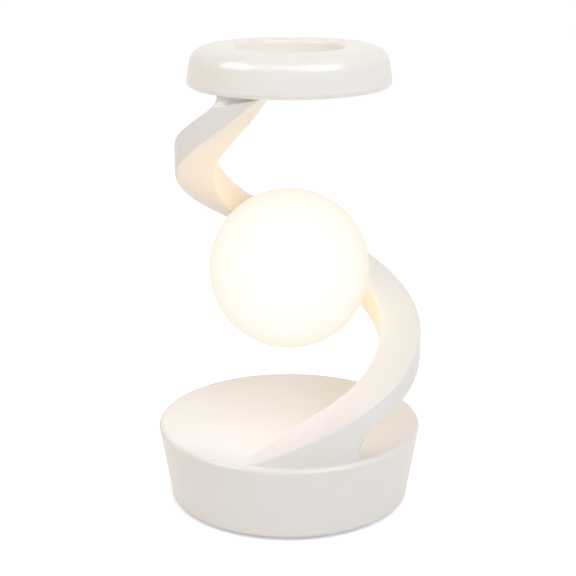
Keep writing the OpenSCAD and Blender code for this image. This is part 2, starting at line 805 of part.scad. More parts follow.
module spiral_arm() {
    color("ivory")
        difference() {
            swept([for (a = shell_dirs) each stand(a, shell_section(a))], 12, shell_cap);
            on_stem()
                translate([0, 0, arm_in(stem_dir) - 3])
                    cylinder(h = arm_wall + 6, r = stem_d / 2 + slide_gap);
            for (r = head_screw_rs)
                around([head_dir], r, ring_z - arm_wall - 2)
                    cylinder(h = arm_wall + 3, d = M3[0]);
        }
}

module arm_cover() {
    color("ivory")
        swept([for (a = cover_dirs) each stand(a, cover_section(a))], 8, fan(8));
}

module arm_anchor() {
    color("burlywood")
        difference() {
            swept([for (a = anchor_dirs) each stand(a, plug_section(a))], 4, fan(4));
            for (a = arm_screw_dirs)
                around([a], arm_mid(a), base_gap)
                    cylinder(h = dish_z(arm_mid(a)) + arm_screw_grip + 1 - base_gap, d = M3[0]);
        }
}

module arm_screws() {
    color("silver")
        for (a = arm_screw_dirs)
            around([a], arm_mid(a), arm_boss_z(a))
                screw(M3, dish_z(arm_mid(a)) + arm_screw_grip - arm_boss_z(a));
}

module head_anchor() {
    color("burlywood")
        difference() {
            swept([for (a = head_dirs) each stand(a, plug_section(a))], 4, fan(4));
            for (r = head_screw_rs)
                around([head_dir], r, ring_z - arm_wall - head_screw_grip - 1)
                    cylinder(h = head_screw_grip + arm_wall, d = M3[0]);
        }
}

module head_screws() {
    color("silver")
        for (r = head_screw_rs)
            around([head_dir], r, ring_z + ring_plate_t)
                rotate([180, 0, 0])
                    screw(M3, ring_plate_t + arm_wall + head_screw_grip);
}

module led_wires() {
    color("whitesmoke")
        cable(wire_route, wire_r);
}

// Half outline of the ring's outside, from the hole over the top to the lower edge
module ring_outline() {
    bend_r = ring_r - ring_taper - ring_shoulder;
    polygon(concat([[hole_r, ring_z]],
                   arc([hole_r + hole_edge, lamp_h - hole_edge], hole_edge, 180, 90),
                   arc([bend_r, lamp_h - ring_shoulder], ring_shoulder, 90, 0, 14),
                   arc([ring_r - ring_edge, ring_z + ring_edge], ring_edge, 0, -90)));
}

// Half outline of the ring's hollow, open below between the two lips
module ring_hollow() {
    bend_r = ring_r - ring_taper - ring_shoulder;
    ledge_z = ring_z + ring_plate_t + 2 * seat_gap;
    polygon(concat([[lip_in_r, ring_z - 1], [lip_in_r, lamp_h - ring_wall]],
                   arc([bend_r, lamp_h - ring_shoulder], ring_shoulder - ring_wall, 90, 0, 8),
                   [[ring_r - ring_wall, ring_z + ring_edge], [ring_r - ring_wall, ledge_z],
                    [lip_out_r, ledge_z], [lip_out_r, ring_z - 1]]));
}

module ring_shell() {
    color("white")
        difference() {
            union() {
                rotate_extrude()
                    difference() {
                        ring_outline();
                        ring_hollow();
                    }
                around(ring_screw_dirs, ring_screw_r, ring_z + ring_plate_t)
                    cylinder(h = ring_h - ring_plate_t - ring_wall + 1, r = ring_boss_r);
            }
            around(ring_screw_dirs, ring_screw_r, ring_z)
                cylinder(h = ring_plate_t + 8, d = M2[0]);
        }
}

module ring_under_cover() {
    color("white")
        difference() {
            translate([0, 0, ring_z])
                tube(ring_plate_t, lip_out_r - slide_gap, lip_in_r + slide_gap);
            around(ring_screw_dirs, ring_screw_r, ring_z - 1)
                cylinder(h = ring_plate_t + 2, d = M2[0]);
            around(ring_screw_dirs, ring_screw_r, ring_z - 1)
                cylinder(h = M2[2] + head_sink + 1, d = M2[1] + 2 * slide_gap);
            for (r = head_screw_rs)
                around([head_dir], r, ring_z - 1)
                    cylinder(h = ring_plate_t + 2, d = M3[0]);
        }
}

module ring_screws() {
    color("silver")
        around(ring_screw_dirs, ring_screw_r, ring_z + M2[2] + head_sink)
            screw(M2, ring_plate_t - M2[2] + 6);
}

module globe_diffuser() {
    color("lightyellow")
        on_stem()
            difference() {
                sphere(r = globe_r);
                sphere(r = globe_r - globe_wall);
                cylinder(h = globe_r + 1, r = mouth_r);
            }
}

module globe_cap() {
    color("white")
        on_stem()
            difference() {
                union() {
                    difference() {
                        intersection() {
                            sphere(r = globe_r + cap_t);
                            cylinder(h = globe_r + 2 * cap_t, r = cap_r);
                        }
                        sphere(r = globe_r + 2 * seat_gap);
                    }
                    translate([0, 0, plug_z])
                        cylinder(h = cap_top - plug_z, r = mouth_r - slide_gap);
                    translate([0, 0, plug_z])
                        cylinder(h = hub_end - plug_z, r = hub_r);
                }
                translate([0, 0, plug_z - 1])
                    cylinder(h = hub_end - plug_z + 2, r = stem_d / 2 + seat_gap);
                around([0, 180], led_screw_r, plug_z - 1)
                    cylinder(h = 5, d = M2[0]);
            }
}

module globe_stem() {
    color("silver")
        on_stem()
            translate([0, 0, plug_z])
                tube(stem_end - plug_z, stem_d / 2, stem_bore_d / 2);
}

module stem_nut() {
    color("silver")
        on_stem()
            translate([0, 0, nut_z])
                tube(nut_t, nut_r, stem_d / 2 + seat_gap);
}

module led_board() {
    color("white")
        on_stem()
            difference() {
                translate([0, 0, led_face])
                    cylinder(h = led_board_t, d = led_board_d);
                around([0, 180], led_screw_r, led_face - 1)
                    cylinder(h = led_board_t + 2, d = M2[0]);
            }
}

module led_chips() {
    color("khaki")
        on_stem()
            for (i = [0 : led_count - 1])
                rotate([0, 0, 360 * (i + 0.5) / led_count])
                    translate([led_ring_r - led_chip[0] / 2, -led_chip[1] / 2, led_face - led_chip[2]])
                        cube(led_chip);
}

module led_screws() {
    color("silver")
        on_stem()
            around([0, 180], led_screw_r, led_face)
                screw(M2, led_board_t + 3.5);
}

foot_pad();
foot_plate();
ballast_disc();
ballast_screws();
spindle();
spindle_base_screw();
spindle_washer();
spindle_top_screw();
bearing_inner_ring();
bearing_outer_ring();
bearing_cage();
bearing_balls();
bearing_retainer();
retainer_screws();
base_cover();
cover_screws();
bowl_housing();
battery();
battery_pad();
battery_leads();
control_board();
board_screws();
usb_socket();
tact_switch();
switch_plunger();
power_button();
spiral_arm();
arm_cover();
arm_anchor();
arm_screws();
head_anchor();
head_screws();
led_wires();
ring_shell();
ring_under_cover();
ring_screws();
globe_diffuser();
globe_cap();
globe_stem();
stem_nut();
led_board();
led_chips();
led_screws();
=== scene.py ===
import math

import bmesh
import bpy
import numpy as np
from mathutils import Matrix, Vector


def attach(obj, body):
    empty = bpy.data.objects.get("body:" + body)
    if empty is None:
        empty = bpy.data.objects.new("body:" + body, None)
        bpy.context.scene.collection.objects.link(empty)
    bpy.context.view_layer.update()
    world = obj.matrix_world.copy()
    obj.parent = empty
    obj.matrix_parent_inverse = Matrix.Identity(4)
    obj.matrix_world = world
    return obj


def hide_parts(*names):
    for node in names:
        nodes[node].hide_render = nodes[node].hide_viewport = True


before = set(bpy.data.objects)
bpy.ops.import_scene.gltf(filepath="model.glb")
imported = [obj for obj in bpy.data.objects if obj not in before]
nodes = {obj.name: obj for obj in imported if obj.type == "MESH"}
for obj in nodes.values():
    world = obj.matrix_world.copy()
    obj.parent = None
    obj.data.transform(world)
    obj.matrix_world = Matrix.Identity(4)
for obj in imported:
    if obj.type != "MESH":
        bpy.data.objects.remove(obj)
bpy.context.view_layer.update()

MM = 0.001
DEG = math.pi / 180

# Sizes of the lamp in millimetres, and directions round its axis in degrees: 0 is the front,
# 90 the right and 180 the back. They are the sizes of the solids, from the table up.
RIM_R, FOOT_R, BASE_H, BASE_GAP, BASE_WALL = 62.5, 57, 36.8, 1.8, 2.5
DISH_DEPTH, RIM_ROUND, BASE_LIP = 11.5, 1.8, 0.4
RIM_C_R, RIM_C_Z = RIM_R - RIM_ROUND, BASE_H - RIM_ROUND
DISH_R = (RIM_C_R ** 2 + (DISH_DEPTH - RIM_ROUND) ** 2 - RIM_ROUND ** 2) / (2 * DISH_DEPTH)
DISH_Z = BASE_H - DISH_DEPTH + DISH_R
RIM_END = 90 + math.asin(RIM_C_R / (DISH_R + RIM_ROUND)) / DEG

ARM_LOW, ARM_R, ARM_SHIFT, ARM_SHIFT_DIR = BASE_H + 5.9, RIM_R - 5.1, 6.1, 126
ARM_W, ARM_T, ARM_BELLY, BELLY_DIR, ARM_SAG, ARM_EDGE = 19.1, 11.3, 5.6, 184, 3.8, 1.2
ARM_FLARE, FLARE_FROM_DIR, FLARE_RUN = 7.5, -15, 65
FOOT_TIP_DIR, ARM_FOOT_DIR, HEEL_R, ARM_SINK, FOOT_SINK, FOOT_BLEND = -44, 34, 8, 1.4, 0.12, 2.2
ARM_TOP_DIR, NECK_R, ARM_END_DIR, HEAD_RISE, HEAD_LOW = 322, 9, 347, 0.9, 0.2
HEAD_FROM_DIR, HEAD_TO_DIR, HEAD_INSET = 280, 330, 3

LAMP_H, RING_R, RING_HOLE_R, RING_H = 215, 46.3, 24, 17.7
RING_Z = LAMP_H - RING_H
RING_SHOULDER, RING_EDGE, RING_TAPER, HOLE_EDGE, RING_WALL, RING_PLATE = 8, 2.5, 1.2, 1.5, 2.2, 2
RING_DRAFT, RING_LIP, PLATE_GAP, LIP_EDGE, HOLE_LIP = 4, 1.2, 0.1, 0.2, 0.3

STEM_DIR, GLOBE_GAP, GLOBE_WALL, MOUTH_R = 170, 5.3, 1.6, 13
PORT_X, BUTTON_Z, BUTTON_R, USB_Z, USB_W, USB_H, SLIDE_GAP = 9, 17.6, 4, 16.2, 8.9, 3.2, 0.3
BUTTON_PROUD, BUTTON_EDGE, BUTTON_DIP, DIP_INSET = 1, 0.7, 0.28, 0.9
GUIDE_WALL, FLANGE_W, FLANGE_T, ROD_R, ROD_L = 2.8, 1.4, 1.3, 2, 1.4

# Forms of the skin alone: the arm's outer face is drawn in under the ring, the foot's inner edge is blunt.
WAIST_DEPTH, WAIST_FROM_DIR, WAIST_RUN, WAIST_TO_DIR, WAIST_FADE = 2.4, 304, 22, 332, 13
WAIST_BAND, BAND_FROM_DIR, BAND_RUN, BAND_LEAST = 6.2, 308, 36, 0.05
FOOT_BLUNT, BLUNT_FROM_DIR, BLUNT_RUN = 3, -25, 45


def ease(q):
    """Smooth step from 0 to 1: three times the square less twice the cube of the clipped share."""
    c = np.clip(q, 0, 1)
    return c * c * (3 - 2 * c)


def mix(a, b, q):
    """Straight mix of a and b."""
    return a + (b - a) * q


def soft_max(a, b, k):
    """The larger of a and b, lifted by a parabola where they are within k of each other."""
    near = np.clip(1 - np.abs(a - b) / k, 0, 1)
    return np.maximum(a, b) + near * near * k / 4


def dish_height(r):
    """Height of the dish at radius r: the lower cap of a ball."""
    return DISH_Z - np.sqrt(DISH_R ** 2 - r ** 2)


def wall_radius(z):
    """Outer radius of the base at height z: a straight cone."""
    return FOOT_R + (RIM_R - FOOT_R) * (z - BASE_GAP) / (RIM_C_Z - BASE_GAP)


def arm_top(a):
    """Height of the arm's top: a straight ramp less a parabola that droops between its ends."""
    c = a / ARM_TOP_DIR
    return mix(ARM_LOW, RING_Z, c) - 4 * ARM_SAG * c * (1 - c)


def arm_face(a):
    """Radius of the arm's outer face: a circle shifted off the axis, drawn in to the ring."""
    circle = ARM_R + ARM_SHIFT * np.cos((a - ARM_SHIFT_DIR) * DEG)
    return mix(circle, RING_R - HEAD_INSET, ease((a - HEAD_FROM_DIR) / (HEAD_TO_DIR - HEAD_FROM_DIR)))


def arm_in(a):
    """Radius of the arm's inner face: the outer face less the width, which flares at the foot."""
    return arm_face(a) - ARM_W - ARM_FLARE * (1 - ease((a - FLARE_FROM_DIR) / FLARE_RUN))


def arm_mid(a):
    """Radius of the arm's middle."""
    return (arm_face(a) + arm_in(a)) / 2


def arm_under(a):
    """Height of the arm's underside: the top less a thickness that swells behind the globe."""
    return arm_top(a) - ARM_T - ARM_BELLY * (1 + np.cos((a - BELLY_DIR) * DEG)) / 2


def stand(r, a, z):
    """Points at radius r, direction a and height z."""
    r, a, z = np.broadcast_arrays(r, a * DEG, z)
    return np.stack([r * np.sin(a), -r * np.cos(a), z], -1)


def grid_quads(rows, columns, wrap_rows, wrap_columns, first=0):
    """Faces of a grid of points, row after row, closed on itself where wrapped."""
    i = np.arange(rows if wrap_rows else rows - 1)[:, None]
    j = np.arange(columns if wrap_columns else columns - 1)[None, :]
    i2, j2 = (i + 1) % rows, (j + 1) % columns
    quads = np.stack([i * columns + j, i * columns + j2, i2 * columns + j2, i2 * columns + j], -1)
    return quads.reshape(-1, 4) + first


def make_piece(name, grids, body, stands_for, material):
    """Mesh of several grids of points in millimetres, welded where they meet, with faces outwards."""
    points, faces, count = [], [], 0
    for grid, wrap_rows, wrap_columns, keep in grids:
        rows, columns = grid.shape[:2]
        quads = grid_quads(rows, columns, wrap_rows, wrap_columns, count)
        faces.append(quads if keep is None else quads[keep.ravel()])
        points.append(grid.reshape(-1, 3))
        count += rows * columns
    mesh = bpy.data.meshes.new(name)
    mesh.from_pydata(np.concatenate(points) * MM, [], np.concatenate(faces).tolist())
    work = bmesh.new()
    work.from_mesh(mesh)
    bmesh.ops.remove_doubles(work, verts=work.verts, dist=2e-6)
    bmesh.ops.dissolve_degenerate(work, edges=work.edges, dist=1e-7)
    bmesh.ops.holes_fill(work, edges=[e for e in work.edges if e.is_boundary], sides=0)
    bmesh.ops.recalc_face_normals(work, faces=work.faces)
    work.to_mesh(mesh)
    work.free()
    mesh.polygons.foreach_set("use_smooth", np.ones(len(mesh.polygons), bool))
    mesh.set_sharp_from_angle(angle=40 * DEG)
    piece = bpy.data.objects.new(name, mesh)
    bpy.context.scene.collection.objects.link(piece)
    piece.data.materials.append(material)
    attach(piece, body)
    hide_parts(*stands_for)
    return piece


def turned(profile, steps):
    """Grid of a profile of radius and height turned round the axis."""
    a = np.linspace(0, 360, steps, endpoint=False)[:, None]
    return stand(profile[None, :, 0], a, profile[None, :, 1])


def bow(centre, radius, start, end, steps):
    """Arc of radius and height round a centre, from one direction to another."""
    t = np.linspace(start, end, steps)[:, None] * DEG
    return np.array(centre) + radius * np.concatenate([np.cos(t), np.sin(t)], 1)


GLOBE_R = arm_in(STEM_DIR) - GLOBE_GAP
GLOBE_Z = (arm_top(STEM_DIR) + arm_under(STEM_DIR)) / 2


# Shader groups

def new_group(name, inputs, outputs):
    """Empty shader group with named sockets."""
    group = bpy.data.node_groups.new(name, "ShaderNodeTree")
    for label, kind, value in inputs:
        socket = group.interface.new_socket(label, in_out="INPUT", socket_type=kind)
        if value is not None:
            socket.default_value = value
    for label, kind in outputs:
        group.interface.new_socket(label, in_out="OUTPUT", socket_type=kind)
    return group, group.nodes.new("NodeGroupInput"), group.nodes.new("NodeGroupOutput")


def put(tree, kind, **settings):
    """New node with its properties set."""
    node = tree.nodes.new(kind)
    for key, value in settings.items():
        setattr(node, key, value)
    return node


def feed(tree, socket, item):
    """Links another node's socket to a socket, or sets the socket's own value."""
    if isinstance(item, bpy.types.NodeSocket):
        tree.links.new(item, socket)
    else:
        socket.default_value = item


def noise(tree, vector, scale, detail, roughness=0.5):
    """Noise over a vector."""
    node = put(tree, "ShaderNodeTexNoise")
    for key, item in (("Vector", vector), ("Scale", scale), ("Detail", detail), ("Roughness", roughness)):
        feed(tree, node.inputs[key], item)
    return node.outputs["Fac"]


def ranged(tree, value, low, high, to_low, to_high):
    """Value carried from one range to another, clipped."""
    node = put(tree, "ShaderNodeMapRange")
    for key, item in (("Value", value), ("From Min", low), ("From Max", high),
                      ("To Min", to_low), ("To Max", to_high)):
        feed(tree, node.inputs[key], item)
    return node.outputs["Result"]


def sums(tree, operation, *items):
    """One sum of two or three values."""
    node = put(tree, "ShaderNodeMath", operation=operation)
    for socket, item in zip(node.inputs, items):
        feed(tree, socket, item)
    return node.outputs[0]


def blend_colours(tree, share, a, b, how="MIX"):
    """Mix of two colours by a share, or their sum."""
    node = put(tree, "ShaderNodeMix", data_type="RGBA", blend_type=how)
    for index, item in ((0, share), (6, a), (7, b)):
        feed(tree, node.inputs[index], item)
    return node.outputs[2]


def moulded_group():
    """Moulded plastic: slow clouds between two close tones, patches of gloss and a fine pebbled grain."""
    group, given, out = new_group(
        "Moulded skin",
        [("Vector", "NodeSocketVector", None), ("Light tone", "NodeSocketColor", None),
         ("Deep tone", "NodeSocketColor", None), ("Roughness", "NodeSocketFloat", 0.4),
         ("Gloss spread", "NodeSocketFloat", 0.06), ("Grain size", "NodeSocketFloat", 2200.0)],
        [("Colour", "NodeSocketColor"), ("Roughness", "NodeSocketFloat"), ("Height", "NodeSocketFloat")])
    cloud = noise(group, given.outputs["Vector"], 24, 3, 0.55)
    share = ranged(group, cloud, 0.3, 0.7, 0, 1)
    group.links.new(blend_colours(group, share, given.outputs["Light tone"], given.outputs["Deep tone"]),
                    out.inputs["Colour"])
    patch = noise(group, given.outputs["Vector"], 60, 2, 0.5)
    swing = sums(group, "MULTIPLY", sums(group, "SUBTRACT", patch, 0.5), given.outputs["Gloss spread"])
    group.links.new(sums(group, "ADD", given.outputs["Roughness"], swing), out.inputs["Roughness"])
    group.links.new(noise(group, given.outputs["Vector"], given.outputs["Grain size"], 2, 0.5),
                    out.inputs["Height"])
    return group


def brushed_group():
    """Machined metal: fine streaks along one axis over slow clouds, in tone, gloss and height."""
    group, given, out = new_group(
        "Machined skin",
        [("Vector", "NodeSocketVector", None), ("Light tone", "NodeSocketColor", None),
         ("Deep tone", "NodeSocketColor", None), ("Roughness", "NodeSocketFloat", 0.3)],
        [("Colour", "NodeSocketColor"), ("Roughness", "NodeSocketFloat"), ("Height", "NodeSocketFloat")])
    stretch = put(group, "ShaderNodeMapping")
    stretch.inputs["Scale"].default_value = (900, 900, 9000)
    group.links.new(given.outputs["Vector"], stretch.inputs["Vector"])
    streak = noise(group, stretch.outputs["Vector"], 1, 2, 0.6)
    group.links.new(blend_colours(group, streak, given.outputs["Light tone"], given.outputs["Deep tone"]),
                    out.inputs["Colour"])
    cloud = noise(group, given.outputs["Vector"], 300, 2)
    swing = sums(group, "MULTIPLY", sums(group, "SUBTRACT", cloud, 0.5), 0.15)
    group.links.new(sums(group, "ADD", given.outputs["Roughness"], swing), out.inputs["Roughness"])
    group.links.new(streak, out.inputs["Height"])
    return group


MOULDED, MACHINED = moulded_group(), brushed_group()


def tone(red, green, blue):
    """Screen colour, 0 to 255, as a linear colour."""
    c = np.array([red, green, blue]) / 255
    lin = np.where(c <= 0.04045, c / 12.92, ((c + 0.055) / 1.055) ** 2.4)
    return (*lin.tolist(), 1)


def blank_material(name):
    """New material, with its node tree, its shader and its Object coordinates."""
    material = bpy.data.materials.new(name)
    material.use_nodes = True
    tree = material.node_tree
    place = put(tree, "ShaderNodeTexCoord")
    return material, tree, tree.nodes["Principled BSDF"], place.outputs["Object"]


def skinned(name, group, light, deep, values, bump, shader_values):
    """Material with a group's colour, roughness and bump over Object coordinates."""
    material, tree, shader, place = blank_material(name)
    skin = put(tree, "ShaderNodeGroup", node_tree=group)
    tree.links.new(place, skin.inputs["Vector"])
    for key, value in {"Light tone": light, "Deep tone": deep, **values}.items():
        skin.inputs[key].default_value = value
    tree.links.new(skin.outputs["Colour"], shader.inputs["Base Color"])
    tree.links.new(skin.outputs["Roughness"], shader.inputs["Roughness"])
    relief = put(tree, "ShaderNodeBump")
    relief.inputs["Strength"].default_value = bump[0]
    relief.inputs["Distance"].default_value = bump[1] * MM
    tree.links.new(skin.outputs["Height"], relief.inputs["Height"])
    tree.links.new(relief.outputs["Normal"], shader.inputs["Normal"])
    for key, value in shader_values.items():
        shader.inputs[key].default_value = value
    return material


def plastic(name, light, deep, roughness, grain=2200.0, bump=(0.12, 0.03), coat=None):
    """Moulded plastic finish. A coat is the clear layer's weight and roughness, over a weaker gloss."""
    values = {"Roughness": roughness, "Grain size": grain}
    shader_values = {}
    if coat:
        shader_values = {"Coat Weight": coat[0], "Coat Roughness": coat[1], "Specular IOR Level": 0.1}
    return skinned(name, MOULDED, light, deep, values, bump, shader_values)


def metal(name, light, deep, roughness):
    """Machined metal finish."""
    return skinned(name, MACHINED, light, deep, {"Roughness": roughness}, (0.1, 0.02), {"Metallic": 1.0})


satin_base = plastic("Satin cream base", tone(234, 229, 223), tone(231, 226, 219), 0.44, coat=(0.25, 0.12))
satin_arm = plastic("Satin cream arm", tone(235, 230, 225), tone(232, 227, 221), 0.42, coat=(0.08, 0.22))
gloss_ring = plastic("Gloss white ring", tone(239, 234, 227), tone(237, 232, 224), 0.3, 1600.0, (0.05, 0.03),
                     (0.2, 0.14))
matt_cover = plastic("Matt white cover", tone(226, 223, 217), tone(219, 215, 208), 0.6)
globe_cap_white = plastic("Satin white cap", tone(232, 229, 223), tone(226, 222, 215), 0.5)
button_white = plastic("Satin white button", tone(234, 230, 224), tone(229, 224, 217), 0.36)
pad_rubber = plastic("Black foam rubber", tone(46, 45, 44), tone(34, 33, 33), 0.85, 900.0, (0.5, 0.15))
foot_grey = plastic("Grey painted foot", tone(122, 119, 116), tone(108, 105, 102), 0.55, 1500.0, (0.3, 0.05))
board_green = plastic("Green board", tone(28, 92, 58), tone(20, 76, 46), 0.4, 700.0, (0.2, 0.05))
board_white = plastic("White light board", tone(232, 232, 228), tone(222, 222, 217), 0.5)
switch_black = plastic("Black switch body", tone(38, 38, 39), tone(28, 28, 29), 0.5)
wire_red = plastic("Red wire sleeve", tone(150, 28, 24), tone(128, 20, 18), 0.45)
wire_white = plastic("White wire sleeve", tone(228, 226, 220), tone(218, 215, 207), 0.45)
anchor_tan = plastic("Tan anchor block", tone(190, 170, 138), tone(176, 155, 122), 0.6)
cage_tan = plastic("Tan bearing cage", tone(196, 178, 142), tone(184, 164, 128), 0.5)
chip_yellow = plastic("Yellow light chip", tone(226, 196, 92), tone(212, 180, 74), 0.35)
cell_foil = metal("Foil of the cell", tone(196, 197, 200), tone(178, 179, 183), 0.42)
zinc_steel = metal("Zinc steel", tone(190, 190, 192), tone(160, 160, 163), 0.34)
race_steel = metal("Polished bearing steel", tone(205, 206, 209), tone(184, 185, 189), 0.18)
ballast_iron = metal("Rough ballast iron", tone(92, 92, 95), tone(70, 70, 73), 0.6)


# The globe's light. The glow that is seen is painted limb shade: warm and darker at the sides, white at the
# front and weaker to the back. The light that falls on the other pieces is a sum of lobes: direction, power
# and colour.
GLOW_FRONT, GLOW_BACK_SHARE, GLOW_SOFT, GLOW_CLOUD = (-0.02, -0.95, 0.31), 0.6, 0.45, 0.02
GLOW_LIMB_SHADE_TONES = [(0.0, (0.84, 0.75, 0.60, 1)), (0.3, (0.88, 0.825, 0.715, 1)), (0.6, (0.93, 0.89, 0.805, 1)),
              (0.86, (0.98, 0.96, 0.885, 1)), (1.0, (1.0, 1.0, 0.96, 1))]
SHED_LEAST = (0.02, 0.02, 0.02, 1)
SHED_LOBES = [((-0.15, -0.35, 0.92), 1, (2.75, 2.04, 1.1, 1)),
              ((0.97, -0.1, 0.22), 1, (0.85, 1.14, 1.12, 1)),
              ((0.94, 0.16, -0.31), 4, (1.0, 0.4, 0.05, 1)),
              ((-0.6, -0.3, -0.74), 1, (1.3, 0.0, 0.0, 1)),
              ((-0.5, -0.5, -0.71), 2, (0.0, 0.6, 0.0, 1)),
              ((0, 0, -1), 2, (1.25, 1.2, 0.3, 1)),
              ((-0.3, -0.3, -0.9), 3, (0.0, 0.1, 2.2, 1)),
              ((-0.71, 0.1, -0.7), 3, (1.3, 2.1, 1.5, 1))]


def glowing_globe():
    """Milky globe lit from inside, its glow painted white in front, less so behind, with painted shade round
    the sides, warmer there, and slow clouds. A lobe is the cosine to its direction, clipped at nought and
    raised to its power."""
    material, tree, shader, place = blank_material("Glowing milk globe")
    middle = put(tree, "ShaderNodeVectorMath", operation="SUBTRACT")
    middle.inputs[1].default_value = (0, 0, GLOBE_Z * MM)
    tree.links.new(place, middle.inputs[0])

    def towards(way):
        """How far the surface faces a way, from -1 to 1, by its place on the globe."""
        share = put(tree, "ShaderNodeVectorMath", operation="DOT_PRODUCT")
        tree.links.new(middle.outputs[0], share.inputs[0])
        share.inputs[1].default_value = (np.array(way) / (GLOBE_R * MM)).tolist()
        return share.outputs["Value"]

    cloud = noise(tree, place, 30, 2)
    ahead = sums(tree, "ADD", towards(GLOW_FRONT), sums(tree, "MULTIPLY", cloud, GLOW_CLOUD))
    behind = sums(tree, "MULTIPLY", ahead, -GLOW_BACK_SHARE)
    # Painted limb shade: the glow's tone is set by how far each point faces the front, darker and warmer to
    # the sides.
    ramp = put(tree, "ShaderNodeValToRGB")
    tones = ramp.color_ramp.elements
    while len(tones) < len(GLOW_LIMB_SHADE_TONES):
        tones.new(0.5)
    for element, (where, colour) in zip(tones, GLOW_LIMB_SHADE_TONES):
        element.position, element.color = where, colour
    tree.links.new(sums(tree, "SMOOTH_MAX", ahead, behind, GLOW_SOFT), ramp.inputs[0])
    shed = SHED_LEAST
    for way, power, colour in SHED_LOBES:
        lobe = sums(tree, "POWER", ranged(tree, towards(way), 0, 1, 0, 1), power)
        shed = blend_colours(tree, lobe, shed, colour, "ADD")
    falls = put(tree, "ShaderNodeLightPath").outputs["Is Diffuse Ray"]
    tree.links.new(blend_colours(tree, falls, ramp.outputs["Color"], shed), shader.inputs["Emission Color"])
    shader.inputs["Emission Strength"].default_value = 1.0
    shader.inputs["Specular IOR Level"].default_value = 0.0
    milk = blend_colours(tree, cloud, tone(98, 96, 92), tone(94, 92, 88))
    tree.links.new(milk, shader.inputs["Base Color"])
    shader.inputs["Roughness"].default_value = 0.5
    material.cycles.emission_sampling = "NONE"
    return material


milk_globe = glowing_globe()


# Pieces

def base_shell():
    """Base shell: a profile of cone, round rim, dish and inside turned round the axis. Its back wall has a
    round and an oblong opening, each a patch from the opening's edge to a frame of the wall's grid."""
    steps = 360
    a = np.arange(steps + 1.0)
    # Each frame's start and end direction and the middle of its opening, then the frames' heights
    frames = [(165, 177, PORT_X, BUTTON_Z), (183, 195, -PORT_X, USB_Z)]
    low, high = 10.5, 24.5
    # The opening's rounded edge: how far it stands back from the sleeve, and how far in from the wall
    edge_out = 0.3
    edge_steps = ((edge_out, 0.0), (0.14, 0.05), (0.04, 0.15), (0.0, 0.32))
    heights = np.concatenate([np.linspace(BASE_GAP + BASE_LIP, low, 5), np.linspace(low, high, 15)[1:],
                              np.linspace(high, RIM_C_Z, 6)[1:]])

    def inner_radius(z):
        """Radius of the wall's inside."""
        return wall_radius(z) - BASE_WALL

    def opening(turn, grow, x_mid):
        """Edge of an opening towards each turn in the wall's plane: a circle, or a bar with round ends."""
        c, s = np.cos(turn), np.sin(turn)
        if x_mid > 0:
            reach = np.full_like(turn, BUTTON_R + SLIDE_GAP + grow)
        else:
            half, r = (USB_W - USB_H) / 2, USB_H / 2 + SLIDE_GAP + grow
            flat = r / np.maximum(np.abs(s), 1e-6)
            round_end = half * np.abs(c) + np.sqrt(np.maximum(r * r - half * half * s * s, 0))
            reach = np.where(np.abs(flat * c) <= half, flat, round_end)
        return x_mid + reach * c, reach * s

    def wall(radius):
        """Grid of one wall with the cells of the two frames left out."""
        grid = stand(radius(heights)[:, None], a[None, :], heights[:, None])
        keep = np.ones((len(heights) - 1, steps), bool)
        row = (heights[:-1] >= low - 1e-6) & (heights[1:] <= high + 1e-6)
        for start, end, _, _ in frames:
            keep[np.ix_(row, (a[:-1] >= start) & (a[1:] <= end))] = False
        return grid, False, False, keep

    def window(start, end, x_mid, z_mid):
        """Patches round one opening: outer wall, rounded edge, sleeve and inner wall."""
        rise = heights[(heights >= low - 1e-6) & (heights <= high + 1e-6)]
        across = np.arange(start, end + 1.0)
        frame_a = np.concatenate([across[:-1], np.full(len(rise) - 1, end), across[:0:-1],
                                  np.full(len(rise) - 1, start)])
        frame_z = np.concatenate([np.full(len(across) - 1, low), rise[:-1], np.full(len(across) - 1, high),
                                  rise[:0:-1]])
        middle_a = 180 - math.degrees(math.asin(x_mid / wall_radius(z_mid)))
        turn = np.arctan2((frame_z - z_mid) / (high - low), -(frame_a - middle_a) / (end - start))
        grids = []
        for radius, grow in ((wall_radius, edge_out), (inner_radius, 0.0)):
            x, rise_z = opening(turn, grow, x_mid)
            z = z_mid + rise_z
            hole_a = 180 - np.degrees(np.arcsin(x / radius(z)))
            share = np.linspace(0, 1, 6)[:, None]
            patch_a, patch_z = mix(hole_a, frame_a, share), mix(z, frame_z, share)
            grids.append((stand(radius(patch_z), patch_a, patch_z), False, True, None))
        rows = []
        for grow, sunk in edge_steps:
            x, rise_z = opening(turn, grow, x_mid)
            z = z_mid + rise_z
            rows.append(np.stack([x, np.sqrt(wall_radius(z) ** 2 - x ** 2) - sunk, z], -1))
        rows.append(np.stack([x, np.sqrt(inner_radius(z) ** 2 - x ** 2), z], -1))
        grids.append((np.array(rows), False, True, None))
        return grids

    rim = bow((RIM_C_R, RIM_C_Z), RIM_ROUND, 0, RIM_END, 14)
    edge = math.asin((RIM_C_R + RIM_ROUND * math.cos(RIM_END * DEG)) / DISH_R) / DEG
    dish = bow((0, DISH_Z), DISH_R, -90 + edge, -90, 60)
    crown = np.concatenate([rim, dish[1:]])
    lip_in, nick = inner_radius(BASE_GAP), 0.3 * BASE_LIP
    lip = np.array([[inner_radius(heights[0]), heights[0]], [lip_in + nick, BASE_GAP + nick],
                    [lip_in + BASE_LIP, BASE_GAP], [FOOT_R - BASE_LIP, BASE_GAP],
                    [FOOT_R - nick, BASE_GAP + nick], [wall_radius(heights[0]), heights[0]]])
    under_r = np.linspace(inner_radius(RIM_C_Z), 0, 24)
    under = np.stack([under_r, DISH_Z - np.sqrt((DISH_R + BASE_WALL) ** 2 - under_r ** 2)], 1)
    under[0, 1] = RIM_C_Z
    grids = [wall(wall_radius), wall(inner_radius)]
    for frame_box in frames:
        grids += window(*frame_box)
    for profile in (crown, lip, under):
        grids.append((turned(profile, steps), True, False, None))
    return make_piece("base_shell", grids, "lamp", ["bowl_housing"], satin_base)


